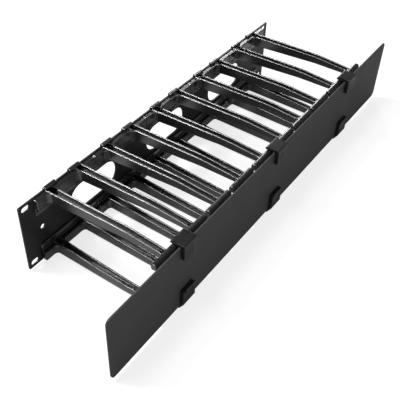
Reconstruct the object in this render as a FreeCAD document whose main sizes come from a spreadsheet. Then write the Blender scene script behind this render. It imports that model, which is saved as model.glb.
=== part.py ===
"""Two-unit horizontal cable manager for a nineteen-inch rack, with a hinged front cover.

A steel back panel carries ten moulded modules of two fingers each, five hooked over its upper edge
and five, turned upside down, over its lower edge. Every finger ends in a cross bar. Six spring
clips hold the cover plate to the cross bars, and the cover swings up about the upper row of bars.

Frame: X along the panel, Y towards the rack, Z up, in millimetres. The origin is the middle of the
rack slot pattern, on the rear face of the panel.
"""
import FreeCAD, Part
import math
import os
import re

import Sketcher
from FreeCAD import Placement, Rotation, Vector

# ---------------------------------------------------------------- driving dimensions

MODULES_PER_ROW = 5
CLIPS_PER_ROW = 3

SIZES = {
    # back panel
    "panel_width": 482.6,
    "panel_height": 88.1,
    "panel_thickness": 2.0,
    "panel_corner": 1.5,
    "rack_span_x": 465.1,
    "rack_span_z": 76.2,
    "rack_slot_length": 10.5,
    "rack_slot_width": 6.8,
    "ear_hole_span": 428.6,
    "ear_hole_diameter": 6.0,
    "window_length": 76.0,
    "window_height": 34.0,
    # base of a finger module, against the front of the panel
    "finger_pitch": 44.45,
    "module_gap": 0.5,
    "base_inset": 1.0,
    "base_height": 22.5,
    "base_thickness": 2.0,
    "band_height": 12.0,
    "band_depth": 6.3,
    "rib_drop": 16.05,
    "rib_width": 1.4,
    "rib_depth": 3.6,
    # fingers, which rise to a bend and slope down past it, grooved above and below
    "finger_root_width": 10.4,
    "finger_tip_width": 8.6,
    "finger_root_depth": 14.0,
    "finger_wall": 2.3,
    "finger_web": 1.6,
    "finger_root_inset": 0.3,
    "finger_rise": 1.4,
    "finger_bend": 101.0,
    "finger_bend_length": 12.0,
    "finger_tip_inset": 0.9,
    "root_radius": 5.0,
    # cross bars at the fingertips
    "bar_length": 39.6,
    "bar_depth": 7.0,
    "bar_height": 7.6,
    "bar_corner": 2.6,
    "bar_drop": 5.25,
    # hooks over the panel's edge and tabs that snap through it
    "hook_offset": 18.2,
    "hook_width": 17.0,
    "hook_drop": 8.0,
    "hook_wall": 1.5,
    "hook_reach": 1.6,
    "hook_bevel": 0.9,
    "panel_fit": 0.2,
    "tab_width": 12.0,
    "tab_thickness": 2.2,
    "tab_rise": 3.45,
    "tab_catch": 1.0,
    "tab_head": 1.5,
    # cover plate
    "cover_overhang": 72.75,
    "cover_rise": 4.2,
    "cover_thickness": 2.0,
    "cover_corner": 6.0,
    "cover_front": 160.0,
    # cover clips: square noses in the top row, sloping ones with a longer lip in the bottom row
    "clip_width": 20.7,
    "top_lip_height": 15.7,
    "bottom_lip_height": 24.2,
    "lip_thickness": 4.7,
    "lip_corner": 1.5,
    "nose_bevel": 0.8,
    "slope_drop": 4.6,
    "slope_end": 0.8,
    "roof_wall": 3.5,
    "roof_corner": 2.5,
    "roof_reach": 4.4,
    "jaw_wall": 1.9,
    "jaw_reach": 2.6,
    "bar_setback": 8.0,
    "clasp_clearance": 0.35,
}

# Places that several pieces share, worked out from the driving dimensions.
PLACES = {
    "panel_top": "panel_height / 2",
    "base_top": "panel_top - base_inset",
    "base_low": "base_top - base_height",
    "band_low": "base_top - band_height",
    "rib_level": "base_top - rib_drop",
    "tab_level": "base_low + tab_rise",
    "module_half": "finger_pitch - module_gap / 2",
    "hook_top": "panel_top + panel_fit + hook_wall",
    "finger_low": "panel_top - finger_root_depth",
    "bar_level": "panel_top - bar_drop",
    "web_top": "bar_level + finger_web / 2",
    "web_low": "bar_level - finger_web / 2",
    "bar_top": "bar_level + bar_height / 2",
    "bar_low": "bar_level - bar_height / 2",
    "bar_axis": "cover_front - bar_setback - panel_thickness",
    "root_top": "panel_top - finger_root_inset",
    "crest": "panel_top + finger_rise",
    "tip_top": "bar_top - finger_tip_inset",
    "tip_low": "bar_low + finger_tip_inset",
    "corner_y": "bar_depth / 2 - bar_corner",
    "corner_z": "bar_height / 2 - bar_corner",
    "bar_reach": "sqrt(corner_y ^ 2 + corner_z ^ 2) + bar_corner",
    "clasp_bore": "bar_reach + clasp_clearance",
    "cover_half": f"{MODULES_PER_ROW} * finger_pitch + cover_overhang",
    "cover_edge": "bar_level + cover_rise",
    "cover_face": "-bar_axis - bar_setback",
    "clip_front": "cover_face - lip_thickness",
    "clip_roof": "bar_level + clasp_bore + roof_wall",
}

UPRIGHT = Rotation()
UPSIDE_DOWN = Rotation(Vector(0, 1, 0), 180)


def bound(expression):
    """The expression with every name of a cell pointed at the sheet."""
    def to_cell(word):
        name = word.group()
        return f"Sizes.{name}" if name in SIZES or name in PLACES else name
    return re.sub(r"[a-z_]+", to_cell, expression)


doc = FreeCAD.newDocument("cable_manager")
sheet = doc.addObject("Spreadsheet::Sheet", "Sizes")
for row, (alias, content) in enumerate([*SIZES.items(), *PLACES.items()], start=1):
    sheet.set(f"A{row}", alias)
    sheet.set(f"B{row}", str(content) if alias in SIZES else f"={content}")
    sheet.setAlias(f"B{row}", alias)
doc.recompute()


def value(expression):
    """The present value of an expression."""
    return float(sheet.evalExpression(bound(expression)))


def size(alias):
    """The present value of a cell."""
    return float(sheet.get(alias))


# ---------------------------------------------------------------- sketches

SKETCH_ORIGIN = (-1, 1)
START, FINISH, CENTRE = range(1, 4)


def new_body(label, place=UPRIGHT, x=0.0, y=0.0):
    body = doc.addObject("PartDesign::Body", label)
    body.Label = label
    body.Placement = Placement(Vector(x, y, 0), place)
    return body


def new_sketch(body, name, role, offset="0"):
    """A sketch on one of the body's own origin planes, moved along its normal."""
    sketch = body.newObject("Sketcher::SketchObject", name)
    plane = [feature for feature in body.Origin.OriginFeatures if feature.Role == role][0]
    sketch.AttachmentSupport = (plane, [""])
    sketch.MapMode = "FlatFace"
    sketch.setExpression(".AttachmentOffset.Base.z", bound(offset))
    return sketch


def dimension(sketch, kind, parts, expression):
    """A sketch constraint whose value follows an expression."""
    index = sketch.addConstraint(Sketcher.Constraint(kind, *parts, value(expression)))
    sketch.setExpression(f"Constraints[{index}]", bound(expression))


def pin(sketch, geometry, point, across, up):
    """Holds a point at the given distances from the sketch's origin."""
    dimension(sketch, "DistanceX", (*SKETCH_ORIGIN, geometry, point), across)
    dimension(sketch, "DistanceY", (*SKETCH_ORIGIN, geometry, point), up)


def draw_outline(sketch, corners):
    """A closed outline of straight sides through corners given as pairs of expressions."""
    first = sketch.GeometryCount
    count = len(corners)
    points = [Vector(value(across), value(up), 0) for across, up in corners]
    for index in range(count):
        sketch.addGeometry(Part.LineSegment(points[index], points[(index + 1) % count]))
    for index, (across, up) in enumerate(corners):
        following = first + (index + 1) % count
        sketch.addConstraint(
            Sketcher.Constraint("Coincident", first + index, FINISH, following, START))
        pin(sketch, first + index, START, across, up)


def draw_rectangle(sketch, left, right, low, high):
    draw_outline(sketch, [(left, low), (right, low), (right, high), (left, high)])


def draw_belt(sketch, rounds, radius):
    """Two half circles or four quarter circles, anticlockwise from the right, joined by sides."""
    first = sketch.GeometryCount
    count = len(rounds)
    half = math.pi / count
    reach = value(radius)
    ends = []
    for index, (across, up) in enumerate(rounds):
        hub = Vector(value(across), value(up), 0)
        turn = 2 * half * index + (0 if count == 2 else half)
        circle = Part.Circle(hub, Vector(0, 0, 1), reach)
        arc = sketch.addGeometry(Part.ArcOfCircle(circle, turn - half, turn + half))
        pin(sketch, arc, CENTRE, across, up)
        dimension(sketch, "Radius", (arc,), radius)
        for point, angle in ((START, turn - half), (FINISH, turn + half)):
            aligned = "Vertical" if abs(math.cos(angle)) < 0.5 else "Horizontal"
            sketch.addConstraint(Sketcher.Constraint(aligned, arc, CENTRE, arc, point))
            ends.append(hub + Vector(reach * math.cos(angle), reach * math.sin(angle), 0))
    for index in range(count):
        following = (index + 1) % count
        side = sketch.addGeometry(Part.LineSegment(ends[2 * index + 1], ends[2 * following]))
        for end, arc, point in ((START, index, FINISH), (FINISH, following, START)):
            sketch.addConstraint(
                Sketcher.Constraint("Coincident", side, end, first + arc, point))


def draw_slot(sketch, across, up, length, width):
    """An obround, its length along the sketch's first axis."""
    reach = f"({length} - {width}) / 2"
    draw_belt(sketch, [(f"{across} + {reach}", up), (f"{across} - {reach}", up)], f"{width} / 2")


def draw_rounded_rectangle(sketch, across, up, half_length, half_width, corner):
    right, left = f"{across} + {half_length} - {corner}", f"{across} - {half_length} + {corner}"
    high, low = f"{up} + {half_width} - {corner}", f"{up} - {half_width} + {corner}"
    draw_belt(sketch, [(right, high), (left, high), (left, low), (right, low)], corner)


def draw_circle(sketch, across, up, diameter):
    hub = Vector(value(across), value(up), 0)
    index = sketch.addGeometry(Part.Circle(hub, Vector(0, 0, 1), value(diameter) / 2))
    pin(sketch, index, CENTRE, across, up)
    dimension(sketch, "Diameter", (index,), diameter)


# ---------------------------------------------------------------- features

def pad(body, name, sketch, length, symmetric=False):
    feature = body.newObject("PartDesign::Pad", name)
    feature.Profile = sketch
    feature.setExpression("Length", bound(length))
    feature.SideType = "Symmetric" if symmetric else "One side"
    return feature


def pocket(body, name, sketch, length=None, along_normal=False):
    """A pocket against the sketch's normal or along it, and right through without a length."""
    feature = body.newObject("PartDesign::Pocket", name)
    feature.Profile = sketch
    feature.Reversed = along_normal
    if length:
        feature.setExpression("Length", bound(length))
    else:
        feature.Type = "ThroughAll"
    return feature


def pocket_both_ways(body, name, sketch):
    feature = body.newObject("PartDesign::Pocket", name)
    feature.Profile = sketch
    feature.SideType = "Symmetric"
    feature.Type = "ThroughAll"
    return feature


def row_pattern(body, name, original, sketch, length, count):
    """Copies a feature along the sketch's first axis: count of them over the whole length."""
    feature = body.newObject("PartDesign::LinearPattern", name)
    feature.Originals = [original]
    feature.Direction = (sketch, ["H_Axis"])
    feature.setExpression("Length", bound(length))
    feature.Occurrences = count
    body.Tip = feature
    return feature


def edges_where(feature, test):
    """Names of the feature's edges whose two ends pass the test."""
    found = []
    for number, edge in enumerate(feature.Shape.Edges, start=1):
        ends = [vertex.Point for vertex in edge.Vertexes]
        if len(ends) == 2 and test(*ends):
            found.append(f"Edge{number}")
    return found


def round_edges(body, name, base, test, radius):
    doc.recompute()
    feature = body.newObject("PartDesign::Fillet", name)
    feature.Base = (base, edges_where(base, test))
    feature.setExpression("Radius", bound(radius))
    return feature


def is_near(value, target, slack=0.02):
    return abs(value - target) < slack


# ---------------------------------------------------------------- back panel

def make_back_panel():
    """Flat steel panel with rack slots, three cable windows and a slot for every module's tab."""
    body = new_body("back_panel")
    sketch = new_sketch(body, "panel_outline", "XZ_Plane")
    draw_rounded_rectangle(sketch, "0", "0", "panel_width / 2", "panel_top", "panel_corner")
    pad(body, "panel_sheet", sketch, "panel_thickness")

    sketch = new_sketch(body, "rack_slot_outline", "XZ_Plane")
    for side in ("", "-"):
        draw_slot(sketch, "-rack_span_x / 2", f"{side}rack_span_z / 2",
                  "rack_slot_length", "rack_slot_width")
    slots = pocket(body, "rack_slots", sketch, along_normal=True)
    row_pattern(body, "rack_slots_both_ends", slots, sketch, "rack_span_x", 2)

    sketch = new_sketch(body, "ear_hole_outline", "XZ_Plane")
    draw_circle(sketch, "-ear_hole_span / 2", "0", "ear_hole_diameter")
    hole = pocket(body, "ear_hole", sketch, along_normal=True)
    row_pattern(body, "ear_holes", hole, sketch, "ear_hole_span", 2)

    sketch = new_sketch(body, "window_outline", "XZ_Plane")
    draw_slot(sketch, "-3 * finger_pitch", "0", "window_length", "window_height")
    window = pocket(body, "window", sketch, along_normal=True)
    row_pattern(body, "windows", window, sketch, "6 * finger_pitch", 3)

    sketch = new_sketch(body, "tab_slot_outline", "XZ_Plane")
    first = f"-{MODULES_PER_ROW - 1} * finger_pitch"
    for side in ("", "-"):
        middle = f"{side}tab_level"
        draw_rectangle(sketch,
                       f"{first} - tab_width / 2 - panel_fit", f"{first} + tab_width / 2 + panel_fit",
                       f"{middle} - tab_thickness / 2 - panel_fit",
                       f"{middle} + tab_thickness / 2 + panel_fit")
    tab_slots = pocket(body, "tab_slots", sketch, along_normal=True)
    row_pattern(body, "tab_slot_rows", tab_slots, sketch,
                f"{2 * (MODULES_PER_ROW - 1)} * finger_pitch", MODULES_PER_ROW)
    return body


# ---------------------------------------------------------------- finger module

FINGER_CENTRES = ("-finger_pitch / 2", "finger_pitch / 2")


def add_module_base(body):
    """Thin plate on the panel with a deep band and a rib across it."""
    for name, low, high, depth in (("base_plate", "base_low", "base_top", "base_thickness"),
                                   ("base_band", "band_low", "base_top", "band_depth"),
                                   ("base_rib", "rib_level - rib_width / 2",
                                    "rib_level + rib_width / 2", "rib_depth")):
        sketch = new_sketch(body, f"{name}_outline", "XZ_Plane")
        draw_rectangle(sketch, "-module_half", "module_half", low, high)
        pad(body, name, sketch, depth)


def add_fingers(body):
    """Two fingers that narrow towards the tip, with their roots faired into the band."""
    sketch = new_sketch(body, "finger_plan", "XY_Plane", "finger_low")
    for middle in FINGER_CENTRES:
        draw_outline(sketch, [(f"{middle} - finger_root_width / 2", "0"),
                              (f"{middle} - finger_tip_width / 2", "-bar_axis"),
                              (f"{middle} + finger_tip_width / 2", "-bar_axis"),
                              (f"{middle} + finger_root_width / 2", "0")])
    pad(body, "fingers", sketch, "crest + 1 - finger_low")

    sketch = new_sketch(body, "finger_underside", "YZ_Plane")
    draw_outline(sketch, [("-band_depth", "finger_low"), ("-finger_bend", "tip_low"),
                          ("-bar_axis - 1", "tip_low"), ("-bar_axis - 1", "finger_low - 1"),
                          ("-band_depth", "finger_low - 1")])
    pocket_both_ways(body, "underside_slope", sketch)

    sketch = new_sketch(body, "finger_top_side", "YZ_Plane")
    half_bend, far_run = "finger_bend_length / 2", "(bar_axis - finger_bend)"
    draw_outline(sketch, [("1", "root_top"), ("0", "root_top"),
                          (f"-finger_bend + {half_bend}",
                           f"crest - (crest - root_top) * {half_bend} / finger_bend"),
                          (f"-finger_bend - {half_bend}",
                           f"crest - (crest - tip_top) * {half_bend} / {far_run}"),
                          ("-bar_axis", "tip_top"), ("-bar_axis", "crest + 2"), ("1", "crest + 2")])
    bend_cut = pocket_both_ways(body, "top_bend", sketch)

    def at_root(begin, end):
        return (is_near(begin.y, -size("band_depth")) and is_near(end.y, begin.y)
                and is_near(begin.x, end.x) and abs(begin.x) < size("module_half") - 1
                and is_near(min(begin.z, end.z), size("band_low"))
                and is_near(max(begin.z, end.z), size("base_top")))

    round_edges(body, "finger_roots", bend_cut, at_root, "root_radius")


def add_grooves(body):
    """Grooves above and below the web of each finger, from the base plate to the cross bar."""
    root, tip = "(finger_root_width / 2 - finger_wall)", "(finger_tip_width / 2 - finger_wall)"
    groove_end = "-bar_axis + bar_depth / 2"
    for name, level, along_normal in (("upper", "web_top", True), ("lower", "web_low", False)):
        sketch = new_sketch(body, f"{name}_groove_plan", "XY_Plane", level)
        for middle in FINGER_CENTRES:
            draw_outline(sketch, [(f"{middle} - {root}", "-base_thickness"),
                                  (f"{middle} - {tip}", groove_end),
                                  (f"{middle} + {tip}", groove_end),
                                  (f"{middle} + {root}", "-base_thickness")])
        depth = "crest - finger_low" if along_normal else "web_low - finger_low + 0.5"
        pocket(body, f"{name}_grooves", sketch, depth, along_normal)


def add_bars(body):
    """A rounded cross bar at each fingertip."""
    for name, middle in zip(("left", "right"), FINGER_CENTRES):
        sketch = new_sketch(body, f"{name}_bar_section", "YZ_Plane", middle)
        draw_rounded_rectangle(sketch, "-bar_axis", "bar_level",
                               "bar_depth / 2", "bar_height / 2", "bar_corner")
        pad(body, f"{name}_bar", sketch, "bar_length", symmetric=True)


def add_hooks(body):
    """Hooks over the panel's edge and a tab through it, which catches behind the sheet."""
    back = "panel_thickness + panel_fit"
    far = f"{back} + hook_wall"
    for name, offset in (("left", "-hook_offset"), ("right", "hook_offset")):
        sketch = new_sketch(body, f"{name}_hook_section", "YZ_Plane", offset)
        draw_outline(sketch, [("-hook_reach", "base_top - hook_drop"), ("-hook_reach", "hook_top"),
                              (f"{far} - hook_bevel", "hook_top"), (far, "hook_top - hook_bevel"),
                              (far, "panel_top - hook_drop"), (back, "panel_top - hook_drop"),
                              (back, "panel_top + panel_fit"), ("0", "panel_top + panel_fit"),
                              ("0", "base_top - hook_drop")])
        pad(body, f"{name}_hook", sketch, "hook_width", symmetric=True)

    sketch = new_sketch(body, "tab_section", "YZ_Plane")
    low, high = "tab_level - tab_thickness / 2", "tab_level + tab_thickness / 2"
    draw_outline(sketch, [("-base_thickness", low), (back, low), (back, f"{low} - tab_catch"),
                          (f"{back} + tab_head", low), (f"{back} + tab_head", high),
                          ("-base_thickness", high)])
    pad(body, "tab", sketch, "tab_width", symmetric=True)


def make_finger_module(label, place, x):
    body = new_body(label, place, x, -size("panel_thickness"))
    add_module_base(body)
    add_fingers(body)
    add_grooves(body)
    add_bars(body)
    add_hooks(body)
    return body


# ---------------------------------------------------------------- cover and clips

def make_cover_plate():
    body = new_body("cover_plate")
    sketch = new_sketch(body, "cover_outline", "XZ_Plane", "cover_front - cover_thickness")
    draw_rounded_rectangle(sketch, "0", "0", "cover_half", "cover_edge", "cover_corner")
    pad(body, "cover_sheet", sketch, "cover_thickness")
    return body


def make_cover_clip(label, place, x, lip_height, nose):
    """Clip that grips the cover's edge and clasps the ends of two neighbouring cross bars."""
    body = new_body(label, place, x, -size("panel_thickness"))
    sketch = new_sketch(body, "clip_section", "YZ_Plane")
    lip_low = f"cover_edge - {lip_height}"
    behind = "cover_face + cover_thickness"
    bore, roof_end, jaw_end = "-bar_axis - clasp_bore", "-bar_axis + roof_reach", "-bar_axis + jaw_reach"
    ceiling, floor = "bar_level + clasp_bore", "bar_level - clasp_bore"
    sole = f"{floor} - jaw_wall"
    draw_outline(sketch, [("clip_front", lip_low), *nose, (roof_end, "clip_roof"),
                          (roof_end, ceiling), (bore, ceiling), (bore, floor), (jaw_end, floor),
                          (jaw_end, sole), (behind, sole), (behind, "cover_edge"),
                          ("cover_face", "cover_edge"), ("cover_face", lip_low)])
    section = pad(body, "clip_block", sketch, "clip_width", symmetric=True)

    def at_lip_corner(begin, end):
        level = value(lip_low)
        return (is_near(begin.x, end.x) and is_near(begin.z, level) and is_near(end.z, level))

    lip_corners = round_edges(body, "lip_corners", section, at_lip_corner, "lip_corner")

    def at_roof_end(begin, end):
        edge = Vector(0, value(roof_end), size("clip_roof"))
        return all(is_near(point.y, edge.y) and is_near(point.z, edge.z) for point in (begin, end))

    round_edges(body, "roof_corner", lip_corners, at_roof_end, "roof_corner")
    return body


def make_top_clip(label, place, x):
    nose = [("clip_front", "clip_roof - nose_bevel"), ("clip_front + nose_bevel", "clip_roof")]
    return make_cover_clip(label, place, x, "top_lip_height", nose)


def make_bottom_clip(label, place, x):
    nose = [("clip_front", "cover_edge - slope_drop"), ("cover_face + slope_end", "clip_roof")]
    return make_cover_clip(label, place, x, "bottom_lip_height", nose)


# ---------------------------------------------------------------- assembly

def copy_of(original, label, place, x):
    """A body that repeats the original at another place along the panel."""
    body = new_body(label, place, x, -size("panel_thickness"))
    copy = body.newObject("PartDesign::FeatureBase", f"{label}_shape")
    copy.BaseFeature = original
    body.Tip = copy
    return body


def make_row(label, place, count, spacing, make=None, original=None):
    """Evenly spaced copies of the original, or of a first piece made here where there is none."""
    row = []
    for number in range(count):
        x = (number - (count - 1) / 2) * spacing
        name = f"{label}_{number + 1}"
        if original:
            row.append(copy_of(original, name, place, x))
        else:
            original = make(name, place, x)
            doc.recompute()
            row.append(original)
    return row


module_row = (MODULES_PER_ROW, 2 * size("finger_pitch"))
clip_row = (CLIPS_PER_ROW, 4 * size("finger_pitch"))
top_modules = make_row("top_finger_module", UPRIGHT, *module_row, make=make_finger_module)
pieces = [make_back_panel(), make_cover_plate(), *top_modules]
pieces += make_row("bottom_finger_module", UPSIDE_DOWN, *module_row, original=top_modules[0])
pieces += make_row("top_cover_clip", UPRIGHT, *clip_row, make=make_top_clip)
pieces += make_row("bottom_cover_clip", UPSIDE_DOWN, *clip_row, make=make_bottom_clip)
doc.recompute()

for thing in doc.Objects:
    if "Invalid" in thing.State or "Error" in thing.State:
        raise RuntimeError(f"{thing.Label} did not build: {thing.State}")

os.makedirs("parts", exist_ok=True)
for piece in pieces:
    shape = piece.Shape
    if shape.isNull() or not shape.isValid() or len(shape.Solids) != 1:
        raise RuntimeError(f"{piece.Label} is not one valid solid")
    shape.exportStep(f"parts/{piece.Label}.step")
    print(f"{piece.Label}: {shape.Volume / 1000:.2f} cm3")
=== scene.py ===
"""Looks of the horizontal cable manager: powder-coated sheet steel and moulded black plastic."""
import math

import bmesh
import bpy
from mathutils import Matrix, Vector


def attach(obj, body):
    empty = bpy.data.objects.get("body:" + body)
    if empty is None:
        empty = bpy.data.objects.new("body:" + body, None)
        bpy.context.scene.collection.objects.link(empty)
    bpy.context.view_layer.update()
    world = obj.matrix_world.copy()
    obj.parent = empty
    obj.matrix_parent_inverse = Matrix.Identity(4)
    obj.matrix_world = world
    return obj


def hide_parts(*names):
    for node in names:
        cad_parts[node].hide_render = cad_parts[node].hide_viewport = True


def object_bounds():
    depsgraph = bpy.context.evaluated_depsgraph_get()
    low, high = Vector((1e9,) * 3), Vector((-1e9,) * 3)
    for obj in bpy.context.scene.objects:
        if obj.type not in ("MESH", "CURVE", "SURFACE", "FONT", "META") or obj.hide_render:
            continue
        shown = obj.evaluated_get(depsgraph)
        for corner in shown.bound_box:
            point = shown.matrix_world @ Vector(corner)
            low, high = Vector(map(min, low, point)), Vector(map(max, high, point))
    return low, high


MM = 0.001
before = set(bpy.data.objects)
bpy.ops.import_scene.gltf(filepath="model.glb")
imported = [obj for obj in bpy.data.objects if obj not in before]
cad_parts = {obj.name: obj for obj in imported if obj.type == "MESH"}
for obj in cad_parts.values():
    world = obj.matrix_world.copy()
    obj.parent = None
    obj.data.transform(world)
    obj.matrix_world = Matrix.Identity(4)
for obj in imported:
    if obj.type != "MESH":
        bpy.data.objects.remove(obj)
cad_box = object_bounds()

MODULE_COUNT = 5
MODULE_SPACING = 88.9 * MM
CLIP_COUNT = 3
CLIP_SPACING = 177.8 * MM
FLOOR_LEVEL = cad_box[0][2]
FLOOR_HALF_WIDTH = 6.0
FLOOR_COLOUR = 0.32
FLOOR_GLOW = 0.76
FLOOR_GLOW_IN_REFLECTIONS = 0.12
ROOM_STRENGTH = 0.28

# Depths in millimetres, as first, end and step, where long faces are cut across so that their
# shading stays even.
CUT_DEPTHS = (14, 147, 12)
SMOOTH_ANGLE = 40
COAT_ROUGHNESS = 0.24
COAT_IOR = 1.8

# Name, place, target, size and power of each lamp.
LAMPS = (
    ("overhead", (-0.70, 1.36, 2.28), (0, -0.08, 0), (0.85, 0.42), 60),
    ("fore", (-0.66, 0.58, 2.62), (0, -0.08, 0), (0.85, 0.42), 28),
    ("side", (2.0, 1.3, 0.9), (0, -0.05, 0), (0.70, 0.45), 14),
    ("front", (-0.7, -1.3, 0.6), (0, -0.1, 0), (0.9, 0.7), 6),
)


# ---------------------------------------------------------------- node trees

def new_group(name, kind, inputs, outputs):
    """An empty node group with its sockets, each given as (name, socket type, default)."""
    tree = bpy.data.node_groups.new(name, kind)
    for direction, sockets in (("INPUT", inputs), ("OUTPUT", outputs)):
        for label, socket_type, default in sockets:
            socket = tree.interface.new_socket(label, in_out=direction, socket_type=socket_type)
            if default is not None:
                socket.default_value = default
    return tree, tree.nodes.new("NodeGroupInput"), tree.nodes.new("NodeGroupOutput")


def add_node(tree, kind, values=None, **settings):
    node = tree.nodes.new(kind)
    for key, value in settings.items():
        setattr(node, key, value)
    for key, value in (values or {}).items():
        node.inputs[key].default_value = value
    return node


def link(tree, *pairs):
    for source, target in pairs:
        tree.links.new(source, target)


# ---------------------------------------------------------------- shader groups

def make_fine_grain():
    """Close grain of a coating or a moulding: a height, and a mask that varies slowly."""
    tree, start, end = new_group(
        "fine_grain", "ShaderNodeTree",
        [("Grain size", "NodeSocketFloat", 0.0005), ("Patch size", "NodeSocketFloat", 0.04)],
        [("Height", "NodeSocketFloat", None), ("Patches", "NodeSocketFloat", None)])
    place = add_node(tree, "ShaderNodeTexCoord")
    for size_name, output, detail, distortion in (("Grain size", "Height", 3.0, 0.0),
                                                  ("Patch size", "Patches", 4.0, 0.4)):
        scale = add_node(tree, "ShaderNodeMath", {0: 1.0}, operation="DIVIDE")
        noise = add_node(tree, "ShaderNodeTexNoise", {"Detail": detail, "Distortion": distortion})
        link(tree, (start.outputs[size_name], scale.inputs[1]),
             (scale.outputs[0], noise.inputs["Scale"]),
             (place.outputs["Object"], noise.inputs["Vector"]),
             (noise.outputs["Fac"], end.inputs[output]))
    return tree


def make_handling_marks():
    """Sparse hairline rubs and specks of dust, as masks."""
    tree, start, end = new_group(
        "handling_marks", "ShaderNodeTree",
        [("Rub length", "NodeSocketFloat", 0.03), ("Dust size", "NodeSocketFloat", 0.0012)],
        [("Rubs", "NodeSocketFloat", None), ("Dust", "NodeSocketFloat", None)])
    place = add_node(tree, "ShaderNodeTexCoord")
    for size_name, output, squeeze, low, high in (
            ("Rub length", "Rubs", (1.0, 9.0, 14.0), 0.66, 0.74),
            ("Dust size", "Dust", (1.0, 1.0, 1.0), 0.70, 0.80)):
        scale = add_node(tree, "ShaderNodeMath", {0: 1.0}, operation="DIVIDE")
        stretch = add_node(tree, "ShaderNodeMapping", {"Scale": squeeze})
        noise = add_node(tree, "ShaderNodeTexNoise", {"Detail": 2.0})
        mask = add_node(tree, "ShaderNodeMapRange",
                        {"From Min": low, "From Max": high}, interpolation_type="SMOOTHSTEP")
        link(tree, (start.outputs[size_name], scale.inputs[1]),
             (scale.outputs[0], noise.inputs["Scale"]),
             (place.outputs["Object"], stretch.inputs["Vector"]),
             (stretch.outputs["Vector"], noise.inputs["Vector"]),
             (noise.outputs["Fac"], mask.inputs["Value"]),
             (mask.outputs["Result"], end.inputs[output]))
    return tree


fine_grain = make_fine_grain()
handling_marks = make_handling_marks()


def make_black_finish(name, colours, roughness, grain_size, grain_height, specular,
                      coat=0.0):
    """A dark finish: colour and roughness drift in patches, over a fine grain in relief."""
    material = bpy.data.materials.new(name)
    material.use_nodes = True
    tree = material.node_tree
    shader = tree.nodes["Principled BSDF"]
    grain = add_node(tree, "ShaderNodeGroup", node_tree=fine_grain)
    grain.inputs["Grain size"].default_value = grain_size
    marks = add_node(tree, "ShaderNodeGroup", node_tree=handling_marks)
    colour = add_node(tree, "ShaderNodeMix", data_type="RGBA")
    colour.inputs[6].default_value = (*colours[0], 1)
    colour.inputs[7].default_value = (*colours[1], 1)
    dusted = add_node(tree, "ShaderNodeMix", data_type="RGBA")
    dusted.inputs[7].default_value = (*colours[2], 1)
    dust_share = add_node(tree, "ShaderNodeMath", {1: 0.35}, operation="MULTIPLY")
    gloss = add_node(tree, "ShaderNodeMapRange",
                     {"From Min": 0.3, "From Max": 0.7,
                      "To Min": roughness[0], "To Max": roughness[1]})
    rubbed = add_node(tree, "ShaderNodeMath", {1: -0.12}, operation="MULTIPLY_ADD")
    relief = add_node(tree, "ShaderNodeBump", {"Strength": 0.35, "Distance": grain_height})
    link(tree, (grain.outputs["Patches"], colour.inputs[0]),
         (colour.outputs[2], dusted.inputs[6]),
         (marks.outputs["Dust"], dust_share.inputs[0]),
         (dust_share.outputs[0], dusted.inputs[0]),
         (dusted.outputs[2], shader.inputs["Base Color"]),
         (grain.outputs["Patches"], gloss.inputs["Value"]),
         (marks.outputs["Rubs"], rubbed.inputs[0]),
         (gloss.outputs["Result"], rubbed.inputs[2]),
         (rubbed.outputs[0], shader.inputs["Roughness"]),
         (grain.outputs["Height"], relief.inputs["Height"]),
         (relief.outputs["Normal"], shader.inputs["Normal"]))
    shader.inputs["Specular IOR Level"].default_value = specular
    shader.inputs["Coat Weight"].default_value = coat
    shader.inputs["Coat Roughness"].default_value = COAT_ROUGHNESS
    shader.inputs["Coat IOR"].default_value = COAT_IOR
    return material


panel_coating = make_black_finish(
    "black_powder_coat", ((0.010, 0.0102, 0.0105), (0.014, 0.0142, 0.0145), (0.03, 0.03, 0.03)),
    roughness=(0.36, 0.46), grain_size=0.0009, grain_height=0.00005, specular=0.45)
cover_coating = make_black_finish(
    "charcoal_powder_coat", ((0.046, 0.046, 0.047), (0.052, 0.052, 0.053), (0.075, 0.075, 0.075)),
    roughness=(0.50, 0.60), grain_size=0.0009, grain_height=0.00006, specular=0.25)
finger_plastic = make_black_finish(
    "moulded_black_plastic", ((0.005, 0.0052, 0.0055), (0.008, 0.0082, 0.0085), (0.03, 0.03, 0.03)),
    roughness=(0.26, 0.32), grain_size=0.0008, grain_height=0.000004, specular=0.5, coat=1.0)
clip_plastic = make_black_finish(
    "satin_black_plastic", ((0.007, 0.0072, 0.0075), (0.010, 0.0102, 0.0105), (0.03, 0.03, 0.03)),
    roughness=(0.28, 0.36), grain_size=0.0007, grain_height=0.00002, specular=0.45)


# ---------------------------------------------------------------- meshes

def copy_mesh(node, name):
    """A joined-up copy of a CAD node's mesh, its flat faces whole again."""
    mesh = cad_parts[node].data.copy()
    mesh.name = name
    mesh.materials.clear()
    shell = bmesh.new()
    shell.from_mesh(mesh)
    bmesh.ops.remove_doubles(shell, verts=shell.verts, dist=0.002 * MM)
    bmesh.ops.dissolve_limit(shell, angle_limit=math.radians(0.5), verts=shell.verts,
                             edges=shell.edges, use_dissolve_boundaries=False)
    shell.to_mesh(mesh)
    shell.free()
    return mesh


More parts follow.
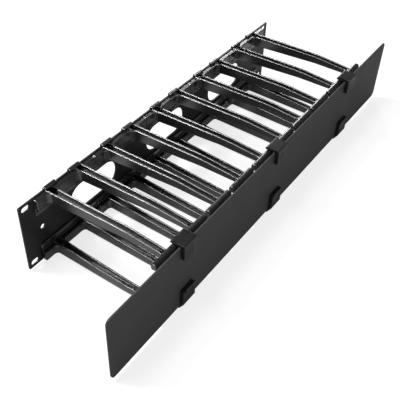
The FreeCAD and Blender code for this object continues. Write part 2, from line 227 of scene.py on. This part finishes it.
def soften(piece, width, angle=28, shortest=0.33 * MM):
    """Rounds the outer edges, as a coating or a mould does, and leaves the shortest ones."""
    shell = bmesh.new()
    shell.from_mesh(piece.data)
    for depth in range(*CUT_DEPTHS):
        everything = [*shell.verts, *shell.edges, *shell.faces]
        bmesh.ops.bisect_plane(shell, geom=everything, dist=0.01 * MM,
                               plane_co=(0, -depth * MM, 0), plane_no=(0, 1, 0))
    weights = shell.edges.layers.float.new("bevel_weight_edge")
    for edge in shell.edges:
        turns = len(edge.link_faces) == 2 and edge.calc_face_angle() > math.radians(angle)
        edge[weights] = float(turns and edge.is_convex and edge.calc_length() > shortest)
    shell.to_mesh(piece.data)
    shell.free()
    bevel = piece.modifiers.new("softened_edges", "BEVEL")
    bevel.width = width
    bevel.segments = 3
    bevel.limit_method = "WEIGHT"
    bevel.use_clamp_overlap = False
    settle(piece)
    for face in piece.data.polygons:
        face.use_smooth = True
    piece.data.set_sharp_from_angle(angle=math.radians(SMOOTH_ANGLE))
    shading = piece.modifiers.new("flat_faces", "WEIGHTED_NORMAL")
    shading.keep_sharp = True
    shading.weight = 100
    settle(piece)


def settle(piece):
    """Turns an object with modifiers into a plain mesh."""
    graph = bpy.context.evaluated_depsgraph_get()
    mesh = bpy.data.meshes.new_from_object(piece.evaluated_get(graph), depsgraph=graph)
    mesh.name = piece.name
    piece.modifiers.clear()
    piece.data = mesh


def new_piece(name, mesh, material=None):
    piece = bpy.data.objects.new(name, mesh)
    bpy.context.scene.collection.objects.link(piece)
    if material:
        mesh.materials.append(material)
    return piece


def make_row_tree():
    """Sets copies of one piece at even steps along the panel."""
    tree, start, end = new_group(
        "row_of_pieces", "GeometryNodeTree",
        [("Geometry", "NodeSocketGeometry", None), ("Count", "NodeSocketInt", 5),
         ("Spacing", "NodeSocketFloat", 0.1), ("Material", "NodeSocketMaterial", None)],
        [("Geometry", "NodeSocketGeometry", None)])
    gaps = add_node(tree, "ShaderNodeMath", {1: -1.0}, operation="ADD")
    span = add_node(tree, "ShaderNodeMath", operation="MULTIPLY")
    half = add_node(tree, "ShaderNodeMath", {1: -0.5}, operation="MULTIPLY")
    begin = add_node(tree, "ShaderNodeCombineXYZ")
    step = add_node(tree, "ShaderNodeCombineXYZ")
    line = add_node(tree, "GeometryNodeMeshLine", mode="OFFSET", count_mode="TOTAL")
    copies = add_node(tree, "GeometryNodeInstanceOnPoints")
    real = add_node(tree, "GeometryNodeRealizeInstances")
    finish = add_node(tree, "GeometryNodeSetMaterial")
    link(tree, (start.outputs["Count"], gaps.inputs[0]), (gaps.outputs[0], span.inputs[0]),
         (start.outputs["Spacing"], span.inputs[1]), (span.outputs[0], half.inputs[0]),
         (half.outputs[0], begin.inputs["X"]), (start.outputs["Spacing"], step.inputs["X"]),
         (start.outputs["Count"], line.inputs["Count"]),
         (begin.outputs[0], line.inputs["Start Location"]),
         (step.outputs[0], line.inputs["Offset"]),
         (line.outputs["Mesh"], copies.inputs["Points"]),
         (start.outputs["Geometry"], copies.inputs["Instance"]),
         (copies.outputs["Instances"], real.inputs["Geometry"]),
         (real.outputs["Geometry"], finish.inputs["Geometry"]),
         (start.outputs["Material"], finish.inputs["Material"]),
         (finish.outputs["Geometry"], end.inputs["Geometry"]))
    return tree


row_tree = make_row_tree()


def repeat_in_row(piece, count, spacing, material):
    modifier = piece.modifiers.new("row", "NODES")
    modifier.node_group = row_tree
    values = {"Count": count, "Spacing": spacing, "Material": material}
    for item in row_tree.interface.items_tree:
        if item.item_type == "SOCKET" and item.in_out == "INPUT" and item.name in values:
            modifier[item.identifier] = values[item.name]
    settle(piece)


# ---------------------------------------------------------------- pieces

def dress(piece, body, nodes):
    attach(piece, body)
    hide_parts(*nodes)


def make_sheet(node, name, edge, material, body):
    piece = new_piece(name, copy_mesh(node, name), material)
    soften(piece, edge)
    dress(piece, body, [node])


def make_rows(kind, name, count, spacing, edge, material, body):
    """The top and bottom rows of a moulding, each from the middle piece of its row."""
    for row in ("top", "bottom"):
        piece = new_piece(f"{row}_{name}", copy_mesh(f"{row}_{kind}_{count // 2 + 1}", name))
        soften(piece, edge)
        repeat_in_row(piece, count, spacing, material)
        dress(piece, body, [f"{row}_{kind}_{number + 1}" for number in range(count)])


make_sheet("back_panel", "panel_sheet", 0.3 * MM, panel_coating, "frame")
make_sheet("cover_plate", "cover_sheet", 0.35 * MM, cover_coating, "cover")
make_rows("finger_module", "finger_row", MODULE_COUNT, MODULE_SPACING, 0.95 * MM,
          finger_plastic, "frame")
make_rows("cover_clip", "clip_row", CLIP_COUNT, CLIP_SPACING, 0.35 * MM,
          clip_plastic, "cover")


# ---------------------------------------------------------------- floor, light and camera

def make_floor():
    """A pale floor that keeps the shadow, its glow fainter in reflections."""
    material = bpy.data.materials.new("pale_floor")
    material.use_nodes = True
    tree = material.node_tree
    tree.nodes.clear()
    output = add_node(tree, "ShaderNodeOutputMaterial")
    matt = add_node(tree, "ShaderNodeBsdfDiffuse", {"Color": (*[FLOOR_COLOUR] * 3, 1)})
    glow = add_node(tree, "ShaderNodeEmission", {"Color": (1, 1, 1, 1)})
    both = add_node(tree, "ShaderNodeAddShader")
    path = add_node(tree, "ShaderNodeLightPath")
    mirrored = add_node(tree, "ShaderNodeMath", {1: FLOOR_GLOW_IN_REFLECTIONS},
                        operation="MULTIPLY")
    seen = add_node(tree, "ShaderNodeMath", operation="MAXIMUM")
    seen_through = add_node(tree, "ShaderNodeMath", operation="MAXIMUM")
    strength = add_node(tree, "ShaderNodeMath", {1: FLOOR_GLOW}, operation="MULTIPLY")
    link(tree, (path.outputs["Is Camera Ray"], seen.inputs[0]),
         (path.outputs["Is Glossy Ray"], mirrored.inputs[0]),
         (mirrored.outputs[0], seen.inputs[1]),
         (seen.outputs[0], seen_through.inputs[0]),
         (path.outputs["Is Transmission Ray"], seen_through.inputs[1]),
         (seen_through.outputs[0], strength.inputs[0]),
         (strength.outputs[0], glow.inputs["Strength"]),
         (matt.outputs[0], both.inputs[0]), (glow.outputs[0], both.inputs[1]),
         (both.outputs[0], output.inputs["Surface"]))
    mesh = bpy.data.meshes.new("floor")
    corners = [(x * FLOOR_HALF_WIDTH, y * FLOOR_HALF_WIDTH, FLOOR_LEVEL)
               for x, y in ((-1, -1), (1, -1), (1, 1), (-1, 1))]
    mesh.from_pydata(corners, [], [(0, 1, 2, 3)])
    floor = new_piece("floor", mesh, material)


def make_world():
    """A white backdrop for the camera; reflections see it fall off to a dim ceiling."""
    world = bpy.data.worlds.new("studio")
    bpy.context.scene.world = world
    world.use_nodes = True
    tree = world.node_tree
    tree.nodes.clear()
    output = add_node(tree, "ShaderNodeOutputWorld")
    room = add_node(tree, "ShaderNodeBackground",
                    {"Color": (1, 1, 1, 1), "Strength": ROOM_STRENGTH})
    backdrop = add_node(tree, "ShaderNodeBackground", {"Color": (1, 1, 1, 1)})
    choice = add_node(tree, "ShaderNodeMixShader")
    path = add_node(tree, "ShaderNodeLightPath")
    seen = add_node(tree, "ShaderNodeMath", operation="MAXIMUM")
    seen_through = add_node(tree, "ShaderNodeMath", operation="MAXIMUM")
    place = add_node(tree, "ShaderNodeTexCoord")
    direction = add_node(tree, "ShaderNodeSeparateXYZ")
    ceiling = add_node(tree, "ShaderNodeMapRange",
                       {"From Min": 0.10, "From Max": 0.36, "To Min": 1.0, "To Max": 0.04},
                       interpolation_type="SMOOTHSTEP")
    brightness = add_node(tree, "ShaderNodeMath", operation="MAXIMUM")
    link(tree, (path.outputs["Is Camera Ray"], seen.inputs[0]),
         (path.outputs["Is Glossy Ray"], seen.inputs[1]),
         (seen.outputs[0], seen_through.inputs[0]),
         (path.outputs["Is Transmission Ray"], seen_through.inputs[1]),
         (seen_through.outputs[0], choice.inputs[0]),
         (place.outputs["Generated"], direction.inputs[0]),
         (direction.outputs["Z"], ceiling.inputs["Value"]),
         (ceiling.outputs["Result"], brightness.inputs[0]),
         (path.outputs["Is Camera Ray"], brightness.inputs[1]),
         (brightness.outputs[0], backdrop.inputs["Strength"]),
         (room.outputs[0], choice.inputs[1]), (backdrop.outputs[0], choice.inputs[2]),
         (choice.outputs[0], output.inputs["Surface"]))


def add_lamp(name, place, target, size, power):
    lamp = bpy.data.lights.new(name, "AREA")
    lamp.shape = "RECTANGLE"
    lamp.size, lamp.size_y = size
    lamp.energy = power
    thing = bpy.data.objects.new(name, lamp)
    thing.location = place
    thing.rotation_euler = (Vector(target) - Vector(place)).to_track_quat("-Z", "Y").to_euler()
    bpy.context.scene.collection.objects.link(thing)


def add_camera():
    right = Vector((0.566131, -0.823693, 0.032018))
    up = Vector((0.543558, 0.402229, 0.736720))
    back = right.cross(up)
    camera = bpy.data.cameras.new("camera")
    camera.sensor_width = 36.0
    camera.lens = 61.035
    camera.clip_end = 20
    holder = bpy.data.objects.new("camera", camera)
    turn = Matrix((right, up, back)).transposed().to_4x4()
    holder.matrix_world = Matrix.Translation((-0.54665, -0.41041, 0.50548)) @ turn
    bpy.context.scene.collection.objects.link(holder)
    bpy.context.scene.camera = holder


make_floor()
make_world()
for lamp_settings in LAMPS:
    add_lamp(*lamp_settings)
add_camera()
bpy.context.scene.view_settings.view_transform = "Standard"
